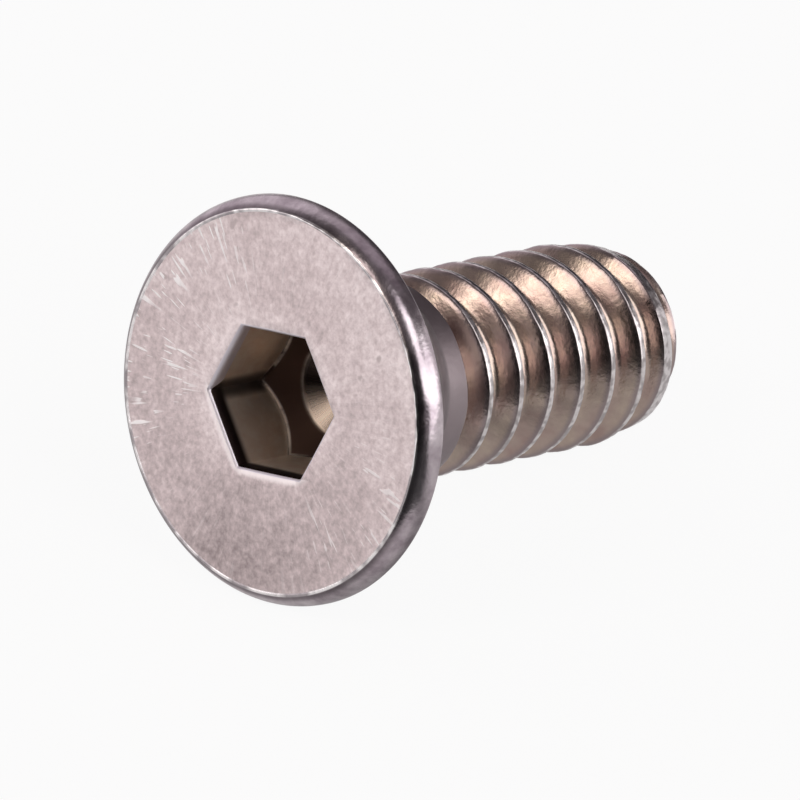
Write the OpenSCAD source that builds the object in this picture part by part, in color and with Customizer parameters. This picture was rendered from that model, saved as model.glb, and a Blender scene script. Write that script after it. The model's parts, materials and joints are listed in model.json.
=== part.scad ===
// Countersunk screw with a hexagon socket, about No. 10-24 by half an inch, made in one piece.
// It lies on its side as it comes to rest: the rim of the head and the last thread touch the ground.

/* [Head] */
// widest diameter of the head, at the rim
head_d = 9.4; // [9.1:0.05:10.2]
// width of the rounded rim, between the flat face and the widest place
rim_width = 0.275; // [0.1:0.005:0.4]
// depth below the face at which the head is widest
rim_depth = 0.48; // [0.35:0.01:0.6]
// height of the straight land at the widest place
land_h = 0.08; // [0.04:0.01:0.2]
// included angle of the cone under the head
cone_angle = 82; // [80:1:90]

/* [Socket] */
// width of the socket across its flats, an eighth of an inch
across_flats = 3.175; // [2.9:0.005:3.4]
// depth of the socket's walls at its six corners
wall_depth = 1.75; // [1.4:0.05:1.9]
// width of the bevel that runs round the mouth of the socket
mouth_bevel = 0.06; // [0.03:0.01:0.12]
// width of the steep bevel at the foot of the walls, measured from the corners inwards
foot_width = 0.63; // [0.4:0.01:0.8]
// angle between that steep bevel and the screw's axis
foot_angle = 42; // [35:1:55]
// included angle of the shallow cone that closes the socket
floor_angle = 130; // [118:1:150]
// turn of the socket about the screw's axis
socket_turn = 21; // [0:1:59]

/* [Thread] */
// outside diameter of the thread
thread_d = 4.76; // [4.62:0.01:4.83]
// distance from one crest to the next, one inch over 24
thread_pitch = 1.0583; // [0.9:0.0001:1.1]
// width of the flat on each crest
crest_w = 0.14; // [0.1:0.01:0.2]
// included angle between the two flanks of a groove
flank_angle = 60; // [55:1:65]
// radius of the rounded bottom of the groove
root_r = 0.25; // [0.15:0.01:0.3]
// angle at which the thread begins, about the screw's axis
thread_turn = 10; // [0:5:355]
// facets in each turn of the thread
facets = 48; // [36:12:60]

/* [Shank] */
// length of the whole screw from its face to its tip
overall_length = 12.3; // [11.5:0.1:14]
// length of the bevelled point
point_length = 0.62; // [0.5:0.01:0.8]
// how much lower than full the crests are where the point begins
point_drop = 0.26; // [0.05:0.01:0.4]
// length in front of the point over which the crests grow to their full height
lead_length = 1.35; // [1.0:0.05:2.0]
// length of the plain neck between the head's cone and the first cut of the groove
neck_length = 0.42; // [0.3:0.01:1]
// length over which the groove runs out towards the head
runout_length = 0.8; // [0.6:0.05:0.95]

/* [Hidden] */
$fn = 96;

head_r = head_d / 2;
face_r = head_r - rim_width;
crest_r = thread_d / 2;
// the rim is an arc that ends upright at the widest place and meets the face at a crisp edge
rim_arc = (rim_width * rim_width + rim_depth * rim_depth) / (2 * rim_width);
rim_center = head_r - rim_arc;
rim_overlap = 0.1;
cone_top = rim_depth + land_h;
cone_slope = tan(cone_angle / 2);
// the cone runs on a little way inside the shank, so the two are one solid
neck_at = cone_top + (head_r - crest_r) / cone_slope;
core_r = crest_r - neck_length * cone_slope / 2;
cone_foot = cone_top + (head_r - core_r) / cone_slope;
shank_start = neck_at - neck_length;

corner_r = across_flats / sqrt(3);
floor_r = corner_r - foot_width;
mouth_r = corner_r + mouth_bevel / cos(30);
foot_depth = wall_depth + foot_width / tan(foot_angle);
floor_depth = foot_depth + floor_r / tan(floor_angle / 2);

// one groove: half its width at the crest, its depth and the five stations round its bottom
half_groove = (thread_pitch - crest_w) / 2;
flank = flank_angle / 2;
arc_center = half_groove / tan(flank) - root_r / sin(flank);
groove_depth = arc_center + root_r;
arc_turns = [-1, -0.45, 0, 0.45, 1] * (90 - flank);
stations = concat(
    [[0, 0]],
    [for (turn = arc_turns) [half_groove + root_r * sin(turn), arc_center + root_r * cos(turn)]],
    [[2 * half_groove, 0]]
);
rows = len(stations);

point_r = crest_r - point_drop;
point_at = overall_length - point_length;
lead_at = point_at - lead_length;
end_r = point_r - point_length;
runout_at = neck_at + neck_length;
first_row = runout_at - 0.05;
last_row = overall_length - 0.03;
turns = ceil(overall_length / thread_pitch) + 1;

// height of a station on a column; columns go once round the screw, and each turn climbs one pitch
function station_z(k, column) =
    thread_pitch * (floor(k / rows) - thread_turn / 360 + column / facets - 1) + stations[k % rows][0];

// how far the groove is cut at a height, from nothing at the neck to its full depth
function cut(z) =
    let (t = min(1, max(0, (z - runout_at) / runout_length)))
    t * t * (3 - 2 * t);

// largest radius allowed at a height: full, then tapering on the lead, then the bevelled point
function outline_r(z) =
    z <= lead_at ? crest_r :
    z <= point_at ? crest_r - (crest_r - point_r) * (z - lead_at) / lead_length :
    point_r - (point_r - end_r) * (z - point_at) / point_length;

function surface_r(z, depth) =
    min(outline_r(z), crest_r - depth + (1 - cut(z)) * groove_depth);

function ring_point(column, r, z) = [r * cos(360 * column / facets), r * sin(360 * column / facets), z];

// first and last station of each column that lie on the threaded length
firsts = [for (c = [0 : facets - 1])
    min([for (k = [0 : rows * turns - 1]) if (station_z(k, c) > first_row) k])];
lasts = [for (c = [0 : facets - 1])
    max([for (k = [0 : rows * turns - 1]) if (station_z(k, c) < last_row) k])];
counts = [for (c = [0 : facets - 1]) lasts[c] - firsts[c] + 3];
function sum_to(list, n) = n <= 0 ? 0 : list[n - 1] + sum_to(list, n - 1);
offsets = [for (c = [0 : facets - 1]) sum_to(counts, c)];

// the column after the last is the first one again, one turn further along the thread
function first_of(c) = c < facets ? firsts[c] : firsts[0] - rows;
function last_of(c) = c < facets ? lasts[c] : lasts[0] - rows;
function low(c) = offsets[c % facets];
function high(c) = offsets[c % facets] + counts[c % facets] - 1;
function at(c, k) = low(c) + 1 + k - first_of(c);

screw_points = [for (c = [0 : facets - 1])
    each concat(
        [ring_point(c, crest_r, shank_start)],
        [for (k = [firsts[c] : lasts[c]])
            let (z = station_z(k, c)) ring_point(c, surface_r(z, stations[k % rows][1]), z)],
        [ring_point(c, end_r, overall_length)]
    )];

function strip(c) =
    let (
        a = first_of(c),
        b = first_of(c + 1),
        p = last_of(c),
        q = last_of(c + 1)
    )
    concat(
        [[low(c), at(c, a), at(c + 1, a)]],
        a > b ? [for (k = [a : -1 : b + 1]) [low(c), at(c + 1, k), at(c + 1, k - 1)]] : [],
        [[low(c), at(c + 1, b), low(c + 1)]],
        [for (k = [a : q - 1]) [at(c, k), at(c, k + 1), at(c + 1, k + 1)]],
        [for (k = [a : q - 1]) [at(c, k), at(c + 1, k + 1), at(c + 1, k)]],
        [[high(c + 1), at(c + 1, q), at(c, q)]],
        p > q ? [for (k = [q : p - 1]) [high(c + 1), at(c, k), at(c, k + 1)]] : [],
        [[high(c + 1), at(c, p), high(c)]]
    );

screw_faces = concat(
    [[for (c = [0 : facets - 1]) low(c)]],
    [for (c = [0 : facets - 1]) each strip(c)],
    [[for (c = [facets - 1 : -1 : 0]) high(c)]]
);

// it rests on the land of the rim and on the thread where the point begins
rest_angle = atan((head_r - point_r) / (point_at - cone_top));
rest_height = head_r * cos(rest_angle) + cone_top * sin(rest_angle);
low_x = -face_r * sin(rest_angle);
high_x = overall_length * cos(rest_angle) + end_r * sin(rest_angle);

// section of the head, from the axis out; the rim's arc alone makes the corner of the face
module head_section() {
    polygon([
        [0, 0],
        [rim_center, 0],
        [rim_center, rim_depth],
        [head_r, rim_depth],
        [head_r, cone_top],
        [core_r, cone_foot],
        [0, cone_foot]
    ]);
    intersection() {
        translate([rim_center, rim_depth])
            circle(rim_arc);
        translate([rim_center - rim_overlap, 0])
            square([rim_arc + 1, rim_depth]);
    }
}

module socket() {
    intersection() {
        translate([0, 0, -1])
            rotate([0, 0, socket_turn])
                cylinder(r = corner_r, h = floor_depth + 2, $fn = 6);
        union() {
            translate([0, 0, -1])
                cylinder(r = corner_r + 0.5, h = wall_depth - 0.5 / tan(foot_angle) + 1);
            translate([0, 0, wall_depth - 0.5 / tan(foot_angle)])
                cylinder(r1 = corner_r + 0.5, r2 = floor_r, h = foot_depth - wall_depth + 0.5 / tan(foot_angle));
            translate([0, 0, foot_depth])
                cylinder(r1 = floor_r, r2 = 0, h = floor_depth - foot_depth);
        }
    }
    rotate([0, 0, socket_turn])
        translate([0, 0, -mouth_bevel])
            cylinder(r1 = mouth_r + mouth_bevel / cos(30), r2 = corner_r - mouth_bevel / cos(30), h = 3 * mouth_bevel, $fn = 6);
}

module threaded_shank() {
    polyhedron(points = screw_points, faces = screw_faces, convexity = 12);
}

module socket_screw() {
    color([0.72, 0.69, 0.67])
        translate([-(low_x + high_x) / 2, 0, rest_height])
            rotate([0, 90 + rest_angle, 0])
                difference() {
                    union() {
                        rotate_extrude()
                            head_section();
                        threaded_shank();
                    }
                    socket();
                }
}

socket_screw();
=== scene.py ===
# %% [markdown]
# # A small countersunk screw with a hexagon socket
#
# The real thing is a machine screw about 12 mm long. It was pressed from wire, so its head and
# shank are one piece of steel. Its flat face was turned and tumbled, its socket was punched with
# a hexagonal punch, and its thread was rolled. The CAD model already has every one of these
# forms. This scene gives the screw finer flanks and edges, the small marks that the machines
# left, and its steel.

import json
import math
from types import SimpleNamespace

import bmesh
import bpy
from mathutils import Matrix, Vector, noise

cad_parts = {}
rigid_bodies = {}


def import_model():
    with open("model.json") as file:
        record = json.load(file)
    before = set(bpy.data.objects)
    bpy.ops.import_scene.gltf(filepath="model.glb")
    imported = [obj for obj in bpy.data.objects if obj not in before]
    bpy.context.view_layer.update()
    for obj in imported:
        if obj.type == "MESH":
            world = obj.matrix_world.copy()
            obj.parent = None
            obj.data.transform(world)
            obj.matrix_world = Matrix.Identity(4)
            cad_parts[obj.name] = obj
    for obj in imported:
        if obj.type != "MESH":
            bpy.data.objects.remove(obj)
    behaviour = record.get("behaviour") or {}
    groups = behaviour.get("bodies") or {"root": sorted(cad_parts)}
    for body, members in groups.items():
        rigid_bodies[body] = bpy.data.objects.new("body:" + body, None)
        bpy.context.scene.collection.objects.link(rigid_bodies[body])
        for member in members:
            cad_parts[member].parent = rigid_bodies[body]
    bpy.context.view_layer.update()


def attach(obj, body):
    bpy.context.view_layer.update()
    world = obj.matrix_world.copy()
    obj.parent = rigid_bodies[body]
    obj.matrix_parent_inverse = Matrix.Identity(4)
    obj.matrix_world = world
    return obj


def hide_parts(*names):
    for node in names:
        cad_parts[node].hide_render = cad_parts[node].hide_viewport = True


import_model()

# %% [markdown]
# ## The head's and the socket's measures
#
# A screw is drawn from a few sizes: its head, its socket, its thread and its length. They are the
# same sizes as in the CAD model, in millimetres, and the mesh is scaled to metres at the end.
# Working in millimetres keeps the numbers readable beside a real screw and a caliper. Angles are
# turned into slopes here once: a slope says how far a cone widens for each millimetre of depth.

# %% Sizes of the head and of the socket
head_r = 4.7
rim_width = 0.275
rim_depth = 0.48
land_height = 0.08
cone_angle = math.radians(82)
cone_slope = math.tan(cone_angle / 2)
face_r = head_r - rim_width
cone_top = rim_depth + land_height
rim_arc = (rim_width**2 + rim_depth**2) / (2 * rim_width)
rim_center = head_r - rim_arc

across_flats = 3.175
wall_depth = 1.75
foot_width = 0.63
foot_slope = math.tan(math.radians(42))
floor_angle = math.radians(130)
floor_slope = math.tan(floor_angle / 2)
socket_turn = math.radians(21)
corner_r = across_flats / math.sqrt(3)
floor_r = corner_r - foot_width
foot_depth = wall_depth + foot_width / foot_slope
floor_depth = foot_depth + floor_r / floor_slope
print("face radius", face_r, "mm; socket is", round(floor_depth, 2), "mm deep")

# %% [markdown]
# ## The thread's and the shank's measures
#
# A rolled thread is a groove with flat sides, the flanks, and a round bottom. Its depth follows
# from the pitch, the flat left on the crest, the angle of the flanks and the radius at the
# bottom, so it is worked out and not typed. The groove fades in behind the neck. Near the tip the
# crests get lower over the lead, and the bevelled point ends them.

# %% Sizes of the thread and of the shank
crest_r = 2.38
pitch = 1.0583
crest_width = 0.14
flank = math.radians(30)
root_r = 0.25
thread_turn = math.radians(10)
overall_length = 12.3
point_length = 0.62
point_drop = 0.26
lead_length = 1.35
neck_length = 0.42
runout_length = 0.8
plain_neck = 0.22

half_groove = (pitch - crest_width) / 2
arc_center = half_groove / math.tan(flank) - root_r / math.sin(flank)
groove_depth = arc_center + root_r
neck_at = cone_top + (head_r - crest_r) / cone_slope
thread_start = neck_at + plain_neck
runout_at = neck_at + neck_length
point_r = crest_r - point_drop
point_at = overall_length - point_length
lead_at = point_at - lead_length
end_r = point_r - point_length
print("groove depth", round(groove_depth, 3), "mm; neck at", round(neck_at, 3), "mm from the face")

# %% [markdown]
# ## How the screw lies
#
# A screw can't stand on its point. Laid on a table, it rolls until the rim of its head and the
# thread at its point both touch. So its axis slopes down by the angle between those two places.
# The mesh is made upright, with its face at height 0 and its shank along +Z, and one matrix lays
# it down. A matrix keeps the modelling simple, because every part of the screw is made round its
# own axis.

# %% Matrix from the screw's own axes to the table
millimetre = 0.001
rest_angle = math.atan((head_r - point_r) / (point_at - cone_top))
rest_height = head_r * math.cos(rest_angle) + cone_top * math.sin(rest_angle)
low_x = -face_r * math.sin(rest_angle)
high_x = overall_length * math.cos(rest_angle) + end_r * math.sin(rest_angle)
face_center = Vector((-(low_x + high_x) / 2, 0, rest_height)) * millimetre
lie_turn = math.radians(90) + rest_angle
lay_down = Matrix.Translation(face_center) @ Matrix.Rotation(lie_turn, 4, "Y")
print("axis slopes down by", round(math.degrees(rest_angle), 2), "degrees")

# %% [markdown]
# ## The outline of the socket
#
# A real socket is punched: flat walls, a steep bevel at their foot, and a shallow cone that
# closes it. The punch also drags the lip inwards and rounds it. The head could be a lathe object,
# a profile turned with the Screw modifier, but a hexagon's profile isn't the same all round.
# Instead each column of the mesh gets its own profile: a list of places, each a distance from the
# axis and a depth below the face. Columns that lie at the same angles, from the middle of the
# socket to the tip, join into one closed skin without any boolean. On each fold between two
# surfaces the mesh gets extra rows, so that the smooth shading keeps the fold crisp.

# %% Profile of the socket in one column
columns = 240
lip_width = 0.10
lip_depth = 0.28
lip_flare, lip_drop = 2.2, 1.5
seam = 0.055
floor_steps, foot_steps, wall_steps, lip_steps = 11, 8, 13, 8
floor_fold = floor_steps + 1
wall_fold = floor_fold + foot_steps + 2


def column_angle(column):
    return socket_turn + 2 * math.pi * column / columns


def hexagon_r(angle, width):
    from_corner = (angle - socket_turn) % math.radians(60)
    return width / 2 / math.cos(from_corner - math.radians(30))


def spread(start, stop, steps):
    return [start + (stop - start) * step / steps for step in range(steps + 1)]


def socket_profile(angle):
    wall_r = hexagon_r(angle, across_flats)
    to_fold = spread(0, floor_r - seam, floor_steps)
    from_fold = spread(floor_r + seam, wall_r - seam, foot_steps) + [wall_r]
    places = [(r, foot_depth + (floor_r - r) / floor_slope) for r in to_fold]
    places.append((floor_r, foot_depth))
    places += [(r, foot_depth - (r - floor_r) / foot_slope) for r in from_fold]
    junction = places[-1][1]
    places += [(wall_r, z) for z in spread(junction - 1.5 * seam, lip_depth, wall_steps)]
    for t in spread(0, 1, lip_steps)[1:]:
        places.append((wall_r + lip_width * t**lip_flare, lip_depth * (1 - t) ** lip_drop))
    return places


print("places in one column of the socket:", len(socket_profile(0)))

# %% [markdown]
# ## The bead at the face's edge
#
# When the face was turned, the tool pushed a little steel over its edge, and tumbling rounded it
# to a fine bead. On the real screw it is strongest on one side and fades round the other. It
# could be painted on with a bump texture, but it catches the light along the outline, so it is
# real height. Noise that is read along a circle makes it uneven, and meets itself again after a
# full turn.

# %% Height of the bead round the face
lip_bead = 0.075
burr_side = math.radians(220)
bead_mean, bead_waves, bead_specks = 0.024, 0.026, 0.020
bead_least = 0.004


def bead_height(angle):
    around = Vector((math.cos(angle), math.sin(angle), 0.3))
    waves, specks = noise.noise(around * 4), noise.noise(around * 17)
    height = bead_mean + bead_waves * waves + bead_specks * specks
    return max(bead_least, height * max(0.12, math.cos(angle - burr_side)))


heights = [bead_height(column_angle(column)) for column in range(columns)]
print("bead stands up to", round(max(heights), 3), "mm above the face")

# %% [markdown]
# ## The outline of the face, the rim and the cone
#
# From the socket's mouth the profile runs out over the flat face and its bead, round the rim's
# arc to the narrow land at the widest place, down the cone, and through a small fillet into the
# neck. A bevel modifier could round these edges, but it gives one width to them all. Written as
# places, each edge gets the radius that it has on the screw.

# %% Profile of the head in one column
face_steps, bead_steps, rim_steps, cone_steps, fillet_steps = 16, 5, 10, 14, 8
land_edge, land_cut, cone_edge = 0.02, 0.012, 0.04
neck_fillet = 0.3


def head_profile(angle):
    mouth_r = socket_profile(angle)[-1][0]
    places = [(r, 0.0) for r in spread(mouth_r, face_r - lip_bead, face_steps)[1:]]
    for turn in spread(0, 1, bead_steps)[1:]:
        places.append((face_r - lip_bead * (1 - turn), -bead_height(angle) * math.sin(2.6 * turn)))
    first_turn = math.acos(max(-1.0, min(1.0, (face_r - rim_center) / rim_arc)))
    for turn in spread(first_turn, 0, rim_steps)[1:]:
        r = rim_center + rim_arc * math.cos(turn)
        places.append((r, rim_depth - rim_arc * math.sin(turn)))
    places += [(head_r, z) for z in spread(rim_depth, cone_top - land_edge, 2)[1:]]
    places.append((head_r - land_cut, cone_top + land_cut))
    for r in spread(head_r - cone_edge, crest_r + neck_fillet, cone_steps):
        places.append((r, cone_top + (head_r - r) / cone_slope))
    last_z = places[-1][1]
    for t in spread(0, 1, fillet_steps)[1:]:
        z = last_z + (thread_start - last_z) * (1 - (1 - t) ** 1.5)
        places.append((crest_r + neck_fillet * (1 - t) ** 2, z))
    return places


print("places in one column of the head:", len(head_profile(0)))

# %% [markdown]
# ## The groove of the thread
#
# A rolled thread is a groove that climbs one pitch in each turn. If the rows of the mesh lay
# level, the crests would cut across them and show steps. So the rows climb with the helix, and
# the crest edges lie along the mesh. Each row is a station across the groove: how far along the
# screw it lies, and how deep it is cut. The crest's shoulders are worn round, so they get five
# close stations on each side.

# %% Stations across one groove
worn_shoulder = [(-0.034, 0.001), (-0.020, 0.004), (-0.008, 0.009), (0.002, 0.017), (0.011, 0.028)]
flank_start = 0.16
flank_steps, root_steps = 4, 8


def groove_stations():
    root_turn = math.radians(90) - flank
    edge_across = half_groove - root_r * math.sin(root_turn)
    edge_depth = arc_center + root_r * math.cos(root_turn)
    stations = [(-crest_width / 2, 0.0)] + worn_shoulder
    for t in spread(flank_start, 1, flank_steps)[:-1]:
        stations.append((edge_across * t, edge_depth * t))
    for turn in spread(-root_turn, root_turn, root_steps):
        across = half_groove + root_r * math.sin(turn)
        stations.append((across, arc_center + root_r * math.cos(turn)))
    for t in spread(1, flank_start, flank_steps)[1:]:
        stations.append((2 * half_groove - edge_across * t, edge_depth * t))
    stations += [(2 * half_groove - across, depth) for across, depth in reversed(worn_shoulder)]
    return stations


stations = groove_stations()
rows = len(stations)
turns = math.ceil(overall_length / pitch) + 1
print("rows in each pitch:", rows, "- turns:", turns)

# %% [markdown]
# ## Where the thread fades and where it is nicked
#
# Rolling dies don't start at full depth, so the groove fades in from the neck. At the tip the
# blank was bevelled, and the crests follow it down. In a box of screws the crests also knock
# against each other and get small nicks. Each of these is a small function of the place on the
# screw, which is easier to check than sculpting. Where the helix runs past either end, its rows
# are held there and merge later.

# %% How far the groove is cut, and how tall the crests may be
nick_reach = 0.07
nick_even, nick_waves, nick_specks = 0.012, 0.010, 0.014


def cut_share(z):
    t = min(1.0, max(0.0, (z - runout_at) / runout_length))
    return t * t * (3 - 2 * t)


def outline_r(z):
    if z <= lead_at:
        return crest_r
    if z <= point_at:
        return crest_r - (crest_r - point_r) * (z - lead_at) / lead_length
    return point_r - (z - point_at)


def nick_depth(angle, z, depth):
    if depth > nick_reach:
        return 0.0
    along = Vector((math.cos(angle) * crest_r, math.sin(angle) * crest_r, z)) * 3.2
    waves = noise.noise(along)
    specks = max(0.0, noise.noise(along * 2.7 + Vector((3, 1, 2))) - 0.1)
    return (nick_waves * waves + nick_specks * specks + nick_even) * (1 - depth / nick_reach)


def thread_place(angle, row):
    turn, station = divmod(row, rows)
    across, depth = stations[station]
    z = pitch * (turn - 1 + (angle - thread_turn) / (2 * math.pi)) + across
    held = min(overall_length, max(thread_start, z))
    r = crest_r - depth + (1 - cut_share(held)) * groove_depth
    r = min(outline_r(held), r)
    below_crest = outline_r(held) - r
    if thread_start < z < overall_length:
        r -= nick_depth(angle, z, below_crest) * cut_share(held)
    return r, held, below_crest


print("radius at the middle of the lead:", round(outline_r(lead_at + lead_length / 2), 3), "mm")

# %% [markdown]
# ## One skin for the whole screw
#
# The places become vertices, and neighbours in two columns become faces. The last column meets
# the first one again one pitch further along the thread. A merge by distance then closes the
# middle of the socket, the neck and the tip, where rows were held at the same place. Each vertex
# also carries one number, called marks: on the thread it is how far the place lies below the
# crests, and in the socket where a painted highlight lies along the folds at the foot of the
# walls.
# The materials read it, so the bright crests can't slip off the form.

# %% Columns of places with their marks
# the socket's values place a painted highlight along its folds
fold_highlight_marks = {floor_fold: 0.35, wall_fold: 1.0, wall_fold + 1: 0.4}


def body_columns():
    for column in range(columns + 1):
        angle = column_angle(column)
        head = socket_profile(angle) + head_profile(angle)
        places = [(r, z, fold_highlight_marks.get(number, 0.0)) for number, (r, z) in enumerate(head)]
        places += [thread_place(angle, row) for row in range(rows * turns)]
        yield angle, places


def add_skin(bm):
    marks = bm.verts.layers.float.new("marks")
    skin = []
    for angle, places in body_columns():
        ring = []
        for r, z, mark in places:
            ring.append(bm.verts.new((r * math.cos(angle), r * math.sin(angle), z)))
            ring[-1][marks] = mark
        ring.append(bm.verts.new((0, 0, overall_length)))
        skin.append(ring)
    for left, right in zip(skin, skin[1:]):
        for row in range(len(left) - 1):
            bm.faces.new((left[row], left[row + 1], right[row + 1], right[row]))


print("columns round the screw:", columns)

# %% [markdown]
# ## Close the skin and lay it down
#
# BMesh does the repairs that a modeller would do by hand: merge what lies together, drop the
# slivers, and turn every face outwards. Then the mesh is scaled to metres and laid on the table.
# A count of open edges tells at once whether the skin is closed.

# %% Build the mesh
merge_distance, sliver = 0.0008, 0.0004
sharp_fold = math.radians(28)


def build_body():
    bm = bmesh.new()
    add_skin(bm)
    bmesh.ops.remove_doubles(bm, verts=bm.verts, dist=merge_distance)
    bmesh.ops.dissolve_degenerate(bm, edges=bm.edges, dist=sliver)
    bmesh.ops.recalc_face_normals(bm, faces=bm.faces)
    bmesh.ops.scale(bm, vec=(millimetre,) * 3, verts=bm.verts)
    bmesh.ops.transform(bm, matrix=lay_down, verts=bm.verts)
    mesh = bpy.data.meshes.new("screw_body")
    bm.to_mesh(mesh)
    open_edges = sum(1 for edge in bm.edges if not edge.is_manifold)
    bm.free()
    print("screw body:", len(mesh.polygons), "faces,", open_edges, "open edges")
    return mesh


body_mesh = build_body()
body_mesh.shade_smooth()
body_mesh.set_sharp_from_angle(angle=sharp_fold)
screw_body = bpy.data.objects.new("screw_body", body_mesh)
bpy.context.scene.collection.objects.link(screw_body)

# %% [markdown]
# ## Nodes for numbers
#
# Every surface of the screw is the same steel, but each was finished in its own way, so there are
# five materials: the face, the rim, the neck, the socket and the thread. All are built from
# nodes. These helpers add one node each and return its output, so that a material reads like a
# short sum.

# %% Helpers that work on numbers
def add_node(tree, kind, **settings):
    node = tree.nodes.new(kind)
    for name, value in settings.items():
        setattr(node, name, value)
    return node


def math_node(tree, operation, *values):
    node = add_node(tree, "ShaderNodeMath", operation=operation)
    for socket, value in zip(node.inputs, values):
        if isinstance(value, (int, float)):
            socket.default_value = value
        else:
            tree.links.new(value, socket)
    return node.outputs[0]


def times(tree, first, second):
    return math_node(tree, "MULTIPLY", first, second)


def add_share(tree, total, part, share):
    return math_node(tree, "MULTIPLY_ADD", part, share, total)


def rest_of(tree, share):
    return math_node(tree, "SUBTRACT", 1.0, share)


def step_node(tree, value, start, stop):
    node = add_node(tree, "ShaderNodeMapRange", interpolation_type="SMOOTHSTEP")
    tree.links.new(value, node.inputs[0])
    node.inputs[1].default_value = start
    node.inputs[2].default_value = stop
    return node.outputs[0]


print("helpers: times, add_share, rest_of and step_node")

# %% [markdown]
# ## Nodes for colours and patterns
#
# Steel is never one even tone. A colour ramp turns a noise into tones between a dark and a light
# one, and a mix lays one finish over another through a mask. The mix takes plain colours as well
# as other nodes.

# %% Helpers that work on colours and patterns
def ramp_node(tree, factor, stops):
    node = add_node(tree, "ShaderNodeValToRGB")
    tree.links.new(factor, node.inputs[0])
    elements = node.color_ramp.elements
    while len(elements) < len(stops):
        elements.new(0.5)
    for element, (place, color) in zip(elements, stops):
        element.position = place
        element.color = (*color, 1)
    return node.outputs[0]


def mix_colors(tree, factor, first, second):
    node = add_node(tree, "ShaderNodeMix", data_type="RGBA")
    tree.links.new(factor, node.inputs[0])
    for socket, value in ((node.inputs[6], first), (node.inputs[7], second)):
        if isinstance(value, tuple):
            socket.default_value = (*value, 1)
        else:
            tree.links.new(value, socket)
    return node.outputs[2]


def noise_node(tree, vector, scale, detail=3.0, roughness=0.55):
    node = add_node(tree, "ShaderNodeTexNoise")
    tree.links.new(vector, node.inputs["Vector"])
    node.inputs["Scale"].default_value = scale
    node.inputs["Detail"].default_value = detail
    node.inputs["Roughness"].default_value = roughness
    return node.outputs[0]


print("helpers: ramp_node, mix_colors and noise_node")

# %% [markdown]
# ## Directions
#
# Many marks lie on one side of the screw, and the lamps stand in set directions. Both are asked
# in the same way: the dot product with a unit direction is large on that side and falls off round
# it, and a step makes a soft-edged mask of it.

# %% Helpers for directions
def unit_direction(turn, rise=0):
    turn, rise = math.radians(turn), math.radians(rise)
    return (math.cos(turn) * math.cos(rise), math.sin(turn) * math.cos(rise), math.sin(rise))


def dot_node(tree, vector, direction):
    node = add_node(tree, "ShaderNodeVectorMath", operation="DOT_PRODUCT")
    tree.links.new(vector, node.inputs[0])
    node.inputs[1].default_value = direction
    return node.outputs["Value"]


def toward_angle(tree, direction, degrees, start, stop):
    return step_node(tree, dot_node(tree, direction, unit_direction(degrees)), start, stop)


def cos_degrees(degrees):
    return math.cos(math.radians(degrees))


print("a level direction at 90 degrees:", [round(part, 3) for part in unit_direction(90)])

# %% [markdown]
# ## The screw's own coordinates in a material
#
# Turning and rolling leave marks that follow the screw's axis, and the screw lies aslant on the
# table. A Mapping node takes the table's coordinates back to the screw's own. From these come the
# direction round the axis, the distance from it and the depth below the face, in millimetres.
# Object coordinates are used, because they stay on the screw from every side.

# %% Coordinates of the screw inside a material
def screw_coordinates(tree):
    table_place = add_node(tree, "ShaderNodeTexCoord")
    place = add_node(tree, "ShaderNodeMapping", vector_type="TEXTURE")
    place.inputs["Location"].default_value = face_center
    place.inputs["Rotation"].default_value = (0, lie_turn, 0)
    tree.links.new(table_place.outputs["Object"], place.inputs[0])
    split = add_node(tree, "ShaderNodeSeparateXYZ")
    tree.links.new(place.outputs[0], split.inputs[0])
    x, y, z = split.outputs
    squares = math_node(tree, "ADD", times(tree, x, x), times(tree, y, y))
    radius = times(tree, math_node(tree, "SQRT", squares), 1 / millimetre)
    depth = times(tree, z, 1 / millimetre)
    across = add_node(tree, "ShaderNodeCombineXYZ")
    tree.links.new(x, across.inputs[0])
    tree.links.new(y, across.inputs[1])
    direction = add_node(tree, "ShaderNodeVectorMath", operation="NORMALIZE")
    tree.links.new(across.outputs[0], direction.inputs[0])
    return SimpleNamespace(
        place=place.outputs[0], direction=direction.outputs[0], radius=radius, depth=depth
    )


def stretched_noise(tree, direction, length, round_scale, length_scale, detail, roughness=0.55):
    widened = add_node(tree, "ShaderNodeVectorMath", operation="SCALE")
    tree.links.new(direction, widened.inputs[0])
    widened.inputs["Scale"].default_value = round_scale
    split = add_node(tree, "ShaderNodeSeparateXYZ")
    tree.links.new(widened.outputs[0], split.inputs[0])
    joined = add_node(tree, "ShaderNodeCombineXYZ")
    tree.links.new(split.outputs[0], joined.inputs[0])
    tree.links.new(split.outputs[1], joined.inputs[1])
    tree.links.new(times(tree, length, length_scale), joined.inputs[2])
    return noise_node(tree, joined.outputs[0], 1.0, detail, roughness)


print("face's middle lies at", [round(part, 5) for part in face_center], "metres")

# %% [markdown]
# ## A steel material
#
# Bare steel is the Principled shader with Metallic at 1: its base colour is then the colour of
# what it mirrors, and its roughness is how blurred the mirror is. Fine texture goes in as a bump
# of one or two hundredths of a millimetre. Real displacement would need millions of faces for the
# same look.

# %% Start a steel and give it a texture
def new_steel(name):
    material = bpy.data.materials.new(name)
    material.use_nodes = True
    tree = material.node_tree
    shader = tree.nodes["Principled BSDF"]
    shader.inputs["Metallic"].default_value = 1.0
    return material, tree, shader


def dress(tree, shader, color, rough, height, strength, distance):
    tree.links.new(color, shader.inputs["Base Color"])
    tree.links.new(rough, shader.inputs["Roughness"])
    bump = add_node(tree, "ShaderNodeBump")
    bump.inputs["Strength"].default_value = strength
    bump.inputs["Distance"].default_value = distance
    tree.links.new(height, bump.inputs["Height"])
    tree.links.new(bump.outputs[0], shader.inputs["Normal"])


print("helpers: new_steel and dress")
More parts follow.
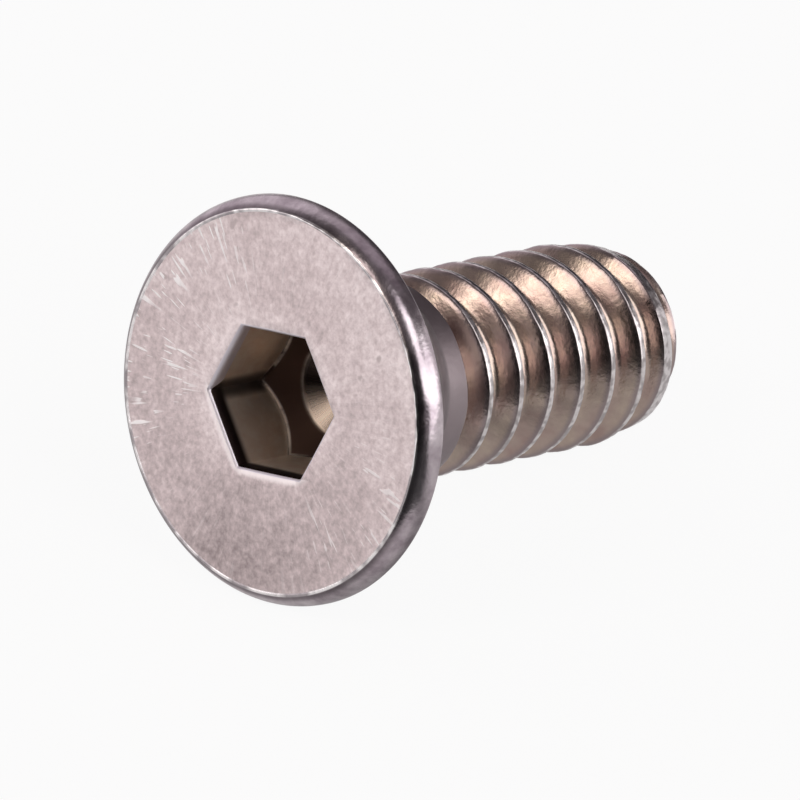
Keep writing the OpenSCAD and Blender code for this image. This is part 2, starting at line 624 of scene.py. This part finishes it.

# %% [markdown]
# ## Scratches on the face
#
# Driving and handling left scratches on the face, and the lines run out from the middle. They are
# closest together and brightest on one side, with a few opposite: the scratches are real, and
# their gathering on two opposite sides is a painted highlight. They could be painted by hand. Here
# a noise is squeezed round the axis and drawn out along the radius, so its peaks become short
# lines, and a step keeps only the highest peaks. A cloudy noise breaks the bright side up, and
# near the socket the lines fade.

# %% Scratches that run out from the middle
scratches_from, scratches_full = 1.9, 2.9


def face_scratches(tree, at, clouds):
    strokes = stretched_noise(tree, at.direction, at.radius, 34.0, 0.85, 0.0)
    nicks = stretched_noise(tree, at.direction, at.radius, 52.0, 2.4, 0.0)
    # painted highlight: the scratches are gathered and bright on two opposite sides
    opposite = times(tree, toward_angle(tree, at.direction, -65, 0.75, 0.95), 0.5)
    scratch_and_highlight_sides = math_node(tree, "ADD", toward_angle(tree, at.direction, 105, 0.45, 0.85), opposite)
    scratch_and_highlight_sides = times(tree, scratch_and_highlight_sides, step_node(tree, clouds, 0.38, 0.56))
    level = add_share(tree, math_node(tree, "MAXIMUM", strokes, nicks), scratch_and_highlight_sides, 0.085)
    zone = add_share(tree, 0.12, scratch_and_highlight_sides, 1.0)
    zone = times(tree, zone, step_node(tree, at.radius, scratches_from, scratches_full))
    return times(tree, step_node(tree, level, 0.745, 0.80), zone)


print("scratches begin", round(scratches_from - corner_r, 2), "mm outside the socket's corners")

# %% [markdown]
# ## Tone of the face
#
# Tumbling with small stones leaves a satin face: fine grain, mottled patches and faint streaks.
# On top of that the face is painted lighter towards one side and darker towards another: painted
# light and shade across the flat face. A ring round the socket is lighter where keys slid in. All
# of it is added up into one number, and a ramp with three steel tones turns that number into
# colour.
# Adding before colouring keeps every tone on the same scale of steel.

# %% Satin tone and the bright edges that a key leaves
face_dark = (0.375, 0.318, 0.320)
face_middle = (0.735, 0.640, 0.643)
face_light = (0.99, 0.905, 0.905)
face_tones = [(0.28, face_dark), (0.5, face_middle), (0.66, face_light)]
painted_light_slope = 26.0


def face_tone(tree, at, clouds, mottle, grain, streaks):
    tone = add_share(tree, add_share(tree, 0.01, clouds, 0.20), mottle, 0.32)
    tone = add_share(tree, tone, grain, 0.30)
    tone = add_share(tree, tone, streaks, 0.10)
    # painted light and shade: the face lighter towards one side and darker towards another
    tone = add_share(tree, tone, dot_node(tree, at.place, unit_direction(-125)), painted_light_slope)
    tone = add_share(tree, tone, toward_angle(tree, at.direction, 85, 0.1, 0.8), 0.10)
    tone = add_share(tree, tone, toward_angle(tree, at.direction, -15, 0.2, 0.9), -0.04)
    around_socket = rest_of(tree, step_node(tree, at.radius, 1.7, 2.4))
    return ramp_node(tree, add_share(tree, tone, around_socket, 0.06), face_tones)


def key_worn(tree, at, color):
    near_socket = rest_of(tree, step_node(tree, at.radius, 1.88, 2.05))
    for wall in (-9, 51):
        away = dot_node(tree, at.place, unit_direction(wall))
        edge = rest_of(tree, step_node(tree, away, 0.00172, 0.00188))
        edge = times(tree, edge, step_node(tree, away, 0.00158, 0.00162))
        edge = times(tree, edge, near_socket)
        color = mix_colors(tree, times(tree, edge, 0.8), color, (1.0, 0.95, 0.95))
    return color


print("face tones:", len(face_tones))

# %% [markdown]
# ## The face's steel
#
# The finished face is the satin tone, with a few darker pits, the bright scratches over them, and
# the two worn edges of the socket on top. The same patterns feed the bump, so a scratch is
# lighter and also a fine ridge, like the burr that a real scratch throws up, and the light finds
# it from every side.

# %% Tumbled face
def steel_of_face():
    material, tree, shader = new_steel("tumbled_face_steel")
    at = screw_coordinates(tree)
    clouds = noise_node(tree, at.place, 600.0)
    mottle = noise_node(tree, at.place, 3200.0, 3.0, 0.65)
    grain = noise_node(tree, at.place, 7500.0, 2.0, 0.6)
    streaks = stretched_noise(tree, at.direction, at.radius, 42.0, 1.6, 3.0, 0.6)
    scratches = face_scratches(tree, at, clouds)
    pits = step_node(tree, noise_node(tree, at.place, 2300.0, 1.0), 0.70, 0.78)
    color = face_tone(tree, at, clouds, mottle, grain, streaks)
    color = mix_colors(tree, times(tree, pits, 0.6), color, (0.49, 0.42, 0.42))
    color = mix_colors(tree, scratches, color, (1.0, 0.98, 0.98))
    color = key_worn(tree, at, color)
    rough = add_share(tree, 0.42, mottle, 0.16)
    height = add_share(tree, times(tree, mottle, 0.8), grain, 0.5)
    height = add_share(tree, height, streaks, 0.35)
    height = add_share(tree, height, scratches, 0.6)
    dress(tree, shader, color, rough, height, strength=0.55, distance=0.000012)
    return material


face_steel = steel_of_face()
print(face_steel.name, "has", len(face_steel.node_tree.nodes), "nodes")

# %% [markdown]
# ## The rim's steel
#
# The rim was left as the forming die made it: smoother than the face, with a mottled grey skin.
# Along the face's edge the raised bead is rubbed bright in spots, and just below it a thin band is
# painted dark, a painted shade under the bead. Both are masks of the depth below the face, so they
# stay as even as a real edge, and a noise breaks the bright one up.

# %% Rolled rim
def steel_of_rim():
    material, tree, shader = new_steel("rolled_rim_steel")
    at = screw_coordinates(tree)
    clouds = noise_node(tree, at.place, 900.0, 4.0)
    waves = noise_node(tree, at.place, 1900.0, 3.0, 0.6)
    fine = noise_node(tree, at.place, 9000.0, 2.0)
    patina = add_share(tree, times(tree, clouds, 0.4), waves, 0.6)
    color = ramp_node(tree, patina, [(0.38, (0.38, 0.325, 0.36)), (0.62, (0.69, 0.625, 0.66))])
    # painted shade: a thin dark band just below the bead
    seam_shadow = rest_of(tree, step_node(tree, at.depth, 0.02, 0.13))
    color = mix_colors(tree, times(tree, seam_shadow, 0.7), color, (0.11, 0.09, 0.10))
    above_face = step_node(tree, times(tree, at.depth, -1.0), -0.012, 0.004)
    spots = step_node(tree, noise_node(tree, at.place, 1500.0, 2.0), 0.40, 0.58)
    bright_bead = times(tree, above_face, add_share(tree, 0.25, spots, 0.75))
    color = mix_colors(tree, bright_bead, color, (0.95, 0.93, 0.93))
    rough = add_share(tree, 0.12, clouds, 0.20)
    height = add_share(tree, waves, fine, 0.3)
    dress(tree, shader, color, rough, height, strength=0.5, distance=0.000022)
    return material


rim_steel = steel_of_rim()
print(rim_steel.name, "has", len(rim_steel.node_tree.nodes), "nodes")

# %% [markdown]
# ## The cone's and the neck's steel
#
# The cone under the head was never machined after pressing. It is the darkest of the outer
# surfaces and has no bright places, so mottled noise between two close greys is enough.

# %% Forged cone and neck
def steel_of_neck():
    material, tree, shader = new_steel("forged_neck_steel")
    at = screw_coordinates(tree)
    clouds = noise_node(tree, at.place, 1300.0, 4.0)
    mottle = noise_node(tree, at.place, 4200.0, 3.0, 0.6)
    fine = noise_node(tree, at.place, 8000.0)
    patina = add_share(tree, times(tree, clouds, 0.5), mottle, 0.5)
    color = ramp_node(tree, patina, [(0.32, (0.23, 0.195, 0.205)), (0.68, (0.35, 0.31, 0.32))])
    rough = add_share(tree, 0.34, clouds, 0.15)
    height = add_share(tree, fine, mottle, 0.6)
    dress(tree, shader, color, rough, height, strength=0.4, distance=0.000012)
    return material


neck_steel = steel_of_neck()
print(neck_steel.name, "has", len(neck_steel.node_tree.nodes), "nodes")

# %% [markdown]
# ## The socket's walls
#
# The punch drew the walls down and left them bare and warm in tone. Shade is painted on them: a
# near-black band below the lip on the sheltered side, one dark corner, and the steep bevel at the
# foot of the walls painted darkest. Depth and direction make each mask. The foot is found by its
# own cone, the sum of radius and depth, so that its edge follows the fold exactly.

# %% Walls and foot of the socket
# painted shade: near-black for the dark corner and the dark side of the socket's floor
painted_shade_black = (0.05, 0.035, 0.03)


def socket_walls(tree, at, clouds, sheltered):
    walls = ramp_node(tree, clouds, [(0.35, (0.90, 0.77, 0.66)), (0.65, (0.99, 0.91, 0.81))])
    # painted shade: a near-black band below the lip on the sheltered side
    under_lip_shade = rest_of(tree, step_node(tree, at.depth, lip_depth * 1.0, lip_depth * 1.8))
    walls = mix_colors(tree, times(tree, under_lip_shade, sheltered), walls, (0.03, 0.02, 0.02))
    # painted shade: one corner of the socket darkened
    corner_shade = toward_angle(tree, at.direction, 81, cos_degrees(10), cos_degrees(1))
    return mix_colors(tree, times(tree, corner_shade, 0.85), walls, painted_shade_black)


def with_foot_shade(tree, at, walls):
    cone_level = foot_depth + floor_r / foot_slope
    below_cone = add_share(tree, at.depth, at.radius, 1 / foot_slope)
    # painted shade: the bevel at the foot of the walls is painted near-black
    foot = step_node(tree, below_cone, cone_level - 0.07, cone_level - 0.02)
    return mix_colors(tree, foot, walls, (0.065, 0.04, 0.032))


print("foot of the walls begins", round(wall_depth, 2), "mm below the face")

# %% [markdown]
# ## The socket's steel
#
# The shallow floor is painted light on one side and near-black on the other, a painted highlight
# and painted shade. The lip is rubbed bright by keys, deepest on its open side. Along the fold
# where the walls end lies a painted highlight on one side, which the marks on the mesh put in
# place. A key never reaches the floor, so that stays smoother than the walls.

# %% Punched socket
def steel_of_socket():
    material, tree, shader = new_steel("punched_socket_steel")
    at = screw_coordinates(tree)
    clouds = noise_node(tree, at.place, 1500.0, 4.0, 0.6)
    drawn = stretched_noise(tree, at.direction, at.depth, 22.0, 0.6, 2.0)
    sheltered = toward_angle(tree, at.direction, 21, cos_degrees(68), cos_degrees(58))
    color = with_foot_shade(tree, at, socket_walls(tree, at, clouds, sheltered))

    floor = step_node(tree, at.depth, foot_depth - 0.02, foot_depth + 0.04)
    # painted light and shade: the floor light on one side and near-black on the other
    lit = toward_angle(tree, at.direction, 20, cos_degrees(62), cos_degrees(30))
    color = mix_colors(tree, floor, color, mix_colors(tree, lit, painted_shade_black, (0.72, 0.60, 0.50)))

    lip_reach = add_share(tree, 0.05, rest_of(tree, sheltered), lip_depth * 0.9)
    on_lip = math_node(tree, "LESS_THAN", at.depth, lip_reach)
    color = mix_colors(tree, on_lip, color, (0.90, 0.86, 0.92))

    marks = add_node(tree, "ShaderNodeAttribute", attribute_name="marks")
    # painted highlight along the fold at the foot of the walls, on one side
    fold = step_node(tree, marks.outputs["Fac"], 0.0, 0.9)
    fold_highlight = times(tree, fold, toward_angle(tree, at.direction, 85, 0.1, 0.8))
    fold_highlight = times(tree, fold_highlight, step_node(tree, clouds, 0.30, 0.60))
    color = mix_colors(tree, fold_highlight, color, (0.97, 0.90, 0.82))

    rough = add_share(tree, add_share(tree, 0.40, drawn, 0.15), fold, 0.3)
    rough = add_share(tree, rough, floor, -0.2)
    dress(tree, shader, color, rough, drawn, strength=0.15, distance=0.00001)
    return material


socket_steel = steel_of_socket()
print(socket_steel.name, "has", len(socket_steel.node_tree.nodes), "nodes")

# %% [markdown]
# ## The thread's film and crests
#
# Rolling oil left a warm brown film in the grooves, which fades to plain grey steel at the neck.
# The crests were polished where they met other screws, and just below them the steel is painted a
# darker grey, a painted shade along each crest. Here the marks on the mesh say how far a place
# lies below the crests, so the bright line is as narrow as the worn crest itself. A texture map
# could do this too, but it would have to be unwrapped along the helix.

# %% Film in the grooves and polish on the crests
film_tones = [(0.36, (0.50, 0.365, 0.33)), (0.5, (0.57, 0.455, 0.40)), (0.64, (0.64, 0.53, 0.44))]
neck_tones = [(0.35, (0.22, 0.185, 0.195)), (0.65, (0.36, 0.32, 0.33))]


def thread_film(tree, clouds, mottle, dull_neck, below_crest):
    film = ramp_node(tree, clouds, film_tones)
    film = mix_colors(tree, times(tree, mottle, 0.55), film, (0.34, 0.27, 0.24))
    film = mix_colors(tree, dull_neck, film, ramp_node(tree, clouds, neck_tones))
    # painted shade: darker grey just below each crest
    crest_side_shade = rest_of(tree, step_node(tree, below_crest, 0.03, 0.17))
    return mix_colors(tree, times(tree, crest_side_shade, 0.8), film, (0.33, 0.28, 0.295))


def with_polished_crests(tree, at, film, below_crest):
    crest = rest_of(tree, step_node(tree, below_crest, 0.006, 0.030))
    crest = times(tree, crest, step_node(tree, at.depth, runout_at + 0.7, runout_at + 1.0))
    on_point = step_node(tree, at.depth, point_at - 0.12, point_at + 0.05)
    crest = times(tree, crest, add_share(tree, 1.0, on_point, -0.6))
    beads = step_node(tree, noise_node(tree, at.place, 4600.0, 1.0), 0.36, 0.62)
    polish = mix_colors(tree, beads, (0.48, 0.45, 0.45), (0.84, 0.81, 0.81))
    return mix_colors(tree, crest, film, polish)


print("film tones:", len(film_tones), "- tones at the neck:", len(neck_tones))

# %% [markdown]
# ## The thread's steel
#
# Rolling presses the flanks almost to a mirror, so the thread is glossy steel, as the rim is. A
# slight mottle in the roughness and the bump keeps its reflections from looking like plastic. At
# the neck, where the dies only brushed the blank, it is duller.

# %% Rolled thread
def steel_of_thread():
    material, tree, shader = new_steel("rolled_thread_steel")
    at = screw_coordinates(tree)
    clouds = noise_node(tree, at.place, 1100.0)
    mottle = noise_node(tree, at.place, 3600.0, 3.0, 0.65)
    fine = noise_node(tree, at.place, 9000.0, 2.0)
    below_crest = add_node(tree, "ShaderNodeAttribute", attribute_name="marks").outputs["Fac"]
    dull_neck = rest_of(tree, step_node(tree, at.depth, runout_at + 0.25, runout_at + 0.65))
    film = thread_film(tree, clouds, mottle, dull_neck, below_crest)
    color = with_polished_crests(tree, at, film, below_crest)
    rough = add_share(tree, add_share(tree, 0.15, mottle, 0.16), dull_neck, 0.18)
    height = add_share(tree, fine, mottle, 0.9)
    dress(tree, shader, color, rough, height, strength=0.45, distance=0.000010)
    return material


thread_steel = steel_of_thread()
print(thread_steel.name, "has", len(thread_steel.node_tree.nodes), "nodes")

# %% [markdown]
# ## A finish for each zone of the skin
#
# The finishes change at sharp folds: the edge of the face, the mouth of the socket, the end of
# the cone. Each face of the mesh is stood up again with the inverse matrix, and the distance and
# depth of its middle choose its material slot. So one closed skin can carry five finishes without
# being cut.

# %% Give each zone its steel
finishes = (face_steel, rim_steel, neck_steel, socket_steel, thread_steel)
FACE, RIM, NECK, SOCKET, THREAD = range(len(finishes))
for finish in finishes:
    screw_body.data.materials.append(finish)

stand_up = lay_down.inverted()
mouth_of_socket = across_flats / 2 + lip_width
inside_shank = 1.0


def zone_of(polygon):
    center = (stand_up @ polygon.center) / millimetre
    r = math.hypot(center.x, center.y)
    on_shank = center.z > neck_at + 0.12 and r > inside_shank
    if on_shank or center.z > overall_length - 0.05:
        return THREAD
    if center.z < 0.005 and mouth_of_socket < r < face_r - lip_bead:
        return FACE
    if r < mouth_of_socket + 0.25 and center.z < floor_depth + 0.2:
        return SOCKET
    return NECK if center.z > cone_top + 0.05 else RIM


for polygon in screw_body.data.polygons:
    polygon.material_index = zone_of(polygon)
for number, finish in enumerate(finishes):
    covered = sum(polygon.material_index == number for polygon in screw_body.data.polygons)
    print(finish.name, "covers", covered, "faces")
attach(screw_body, "root")
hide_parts("socket_screw")

# %% [markdown]
# ## Which rays see what
#
# The photograph has a plain white background, yet its steel mirrors a studio: bright walls, a
# lamp and a dark side. The Light Path node tells the kinds of rays apart. Rays from the camera
# see plain white, and rays that the steel reflects see the studio, so both can be had in one
# scene.

# %% Helpers for rays and glowing surfaces
def ray_kinds(tree):
    ray = add_node(tree, "ShaderNodeLightPath").outputs
    seen = math_node(tree, "MAXIMUM", ray["Is Camera Ray"], ray["Is Transmission Ray"])
    return seen, ray["Is Glossy Ray"]


def glow_node(tree, strength):
    glow = add_node(tree, "ShaderNodeEmission")
    glow.inputs["Strength"].default_value = strength
    return glow.outputs[0]


def mix_shaders(tree, share, first, second):
    node = add_node(tree, "ShaderNodeMixShader")
    for socket, value in zip(node.inputs, (share, first, second)):
        tree.links.new(value, socket)
    return node.outputs[0]


print("helpers: ray_kinds, glow_node and mix_shaders")

# %% [markdown]
# ## The dark part of the table
#
# Whoever takes a photograph stands at the table's near side and keeps the light off it, and the
# steel mirrors that as dark bands. So for reflected rays a wedge of the table in front of the
# screw is dark, except for two small places close to the head. It is a mask of the place on the
# table: two half-planes multiplied make the wedge, and two distances cut the clear places out.
# All lengths are in metres.

# %% Wedge of shade in front of the screw
wedge_sides = (((-0.09, -1.0, 0.0), 0.001, 0.006), ((-0.94, 0.34, 0.0), -0.002, 0.004))
clear_places = ((-0.0075, -0.0062, 0.0), (-0.0125, -0.0024, 0.0))
clear_inner, clear_outer = 0.0015, 0.0045


def shade_wedge(tree):
    place = add_node(tree, "ShaderNodeTexCoord").outputs["Object"]
    sides = []
    for side, start, stop in wedge_sides:
        sides.append(step_node(tree, dot_node(tree, place, side), start, stop))
    wedge = times(tree, *sides)
    for center in clear_places:
        beside = add_node(tree, "ShaderNodeVectorMath", operation="DISTANCE")
        tree.links.new(place, beside.inputs[0])
        beside.inputs[1].default_value = center
        away = step_node(tree, beside.outputs["Value"], clear_inner, clear_outer)
        wedge = times(tree, wedge, away)
    return wedge


print("clear places beside the head:", len(clear_places))

# %% [markdown]
# ## The table
#
# The screw lies on a pale, matt table. For the camera the table glows almost white, and the small
# rest of it is a real matt surface, which keeps the screw's soft shadow. A shadow catcher would
# do this too, but it needs a transparent film and a white laid behind it afterwards. In the steel
# the table is less bright, as a real one is.

# %% Table
table_half = 0.6
table_gray = (0.8, 0.8, 0.8, 1)
white_for_camera, white_for_steel = 0.93, 0.30
shade_strength = 0.06


def table_material():
    material = bpy.data.materials.new("pale_table")
    material.use_nodes = True
    tree = material.node_tree
    matt = tree.nodes["Principled BSDF"]
    matt.inputs["Base Color"].default_value = table_gray
    matt.inputs["Roughness"].default_value = 0.9
    matt.inputs["Specular IOR Level"].default_value = 0.0
    seen, reflected = ray_kinds(tree)
    share = add_share(tree, times(tree, seen, white_for_camera), reflected, white_for_steel)
    bright = mix_shaders(tree, share, matt.outputs[0], glow_node(tree, 1.0))
    in_shade = times(tree, reflected, shade_wedge(tree))
    surface = mix_shaders(tree, in_shade, bright, glow_node(tree, shade_strength))
    tree.links.new(surface, tree.nodes["Material Output"].inputs[0])
    return material


table_mesh = bpy.data.meshes.new("table")
corners = [(-table_half, -table_half), (table_half, -table_half), (table_half, table_half),
           (-table_half, table_half)]
table_mesh.from_pydata([(x, y, 0) for x, y in corners], [], [(0, 1, 2, 3)])
table_mesh.materials.append(table_material())
table = bpy.data.objects.new("table", table_mesh)
bpy.context.scene.collection.objects.link(table)
print("table is", 2 * table_half, "m wide")

# %% [markdown]
# ## The camera
#
# The photograph is flat in perspective, so it was taken from far away for so small a thing, or
# with a long lens. Here the camera stands about 45 cm away and looks down at 27 degrees. Its turn
# is written as three axes, rightward, upward and forward, because they show at once how it
# points.

# %% Camera at the photograph's angle
camera_place = Vector((-0.29821886, -0.27363896, 0.21289255))
look_down = math.radians(27.4537)
look_left = math.radians(42.668)
forward = Vector((
    math.cos(look_left) * math.cos(look_down),
    math.sin(look_left) * math.cos(look_down),
    -math.sin(look_down),
))
rightward = Vector((math.sin(look_left), -math.cos(look_left), 0))
upward = rightward.cross(forward)
turned = Matrix((rightward, upward, -forward)).transposed().to_4x4()
camera_data = bpy.data.cameras.new("camera")
camera_data.lens = 900
camera_data.sensor_width = 36
camera_data.clip_start = 0.01
camera = bpy.data.objects.new("camera", camera_data)
camera.matrix_world = Matrix.Translation(camera_place) @ turned
bpy.context.scene.collection.objects.link(camera)
bpy.context.scene.camera = camera
print("camera is", round(camera_place.length, 3), "m away from the middle of the table")

# %% [markdown]
# ## The light tent
#
# The screw was lit from all round: a wide soft wall on each side, a dim ceiling, a small lamp
# high on the left, and nothing from the camera's side. On polished steel the bright and dark
# walls draw the form, more than any lamp's shadow does. Area lamps could stand there. Patches
# painted on the world do the same for so small a thing, never get in the way, and need no size or
# distance. A patch is a direction, the angles where its edge begins and ends, and a colour. Later
# patches cover earlier ones.

# %% Light tent
tent_gray = (0.13, 0.115, 0.12)
soft_white = (2.2, 2.12, 2.12)
patches = (
    ("ceiling", 15, 66, 12, 32, (0.42, 0.365, 0.40)),
    ("back wall", 78, 26, 20, 42, (0.80, 0.73, 0.77)),
    ("gap in the back", 14, 22, 8, 22, (0.05, 0.045, 0.05)),
    ("left wall", 141, -3, 25, 36, (1.62, 1.52, 1.52)),
    ("far corner", -34, -2, 18, 30, (0.75, 0.70, 0.71)),
    ("camera side", -152, 10, 22, 32, (0.006, 0.005, 0.005)),
    ("right wall", -72, 6, 25, 34, soft_white),
    ("right wall above", -105, 30, 12, 19, soft_white),
    ("right corner", -104, 52, 10, 16, soft_white),
    ("lamp", 171, 48, 6, 16, (3.3, 2.98, 2.72)),
    ("lamp below", -175, 38, 4, 10, (2.0, 1.76, 1.64)),
)


def light_tent():
    world = bpy.data.worlds.new("light_tent")
    world.use_nodes = True
    tree = world.node_tree
    background = tree.nodes["Background"]
    place = add_node(tree, "ShaderNodeTexCoord").outputs["Generated"]
    tent = tent_gray
    for _, turn, rise, inner, outer, color in patches:
        toward = dot_node(tree, place, unit_direction(turn, rise))
        soft_edge = step_node(tree, toward, cos_degrees(outer), cos_degrees(inner))
        tent = mix_colors(tree, soft_edge, tent, color)
    seen = ray_kinds(tree)[0]
    tree.links.new(mix_colors(tree, seen, tent, (1.0, 1.0, 1.0)), background.inputs["Color"])
    background.inputs["Strength"].default_value = 1.0
    return world


bpy.context.scene.world = light_tent()
bpy.context.scene.view_settings.view_transform = "Standard"
print("soft patches:", ", ".join(patch[0] for patch in patches))
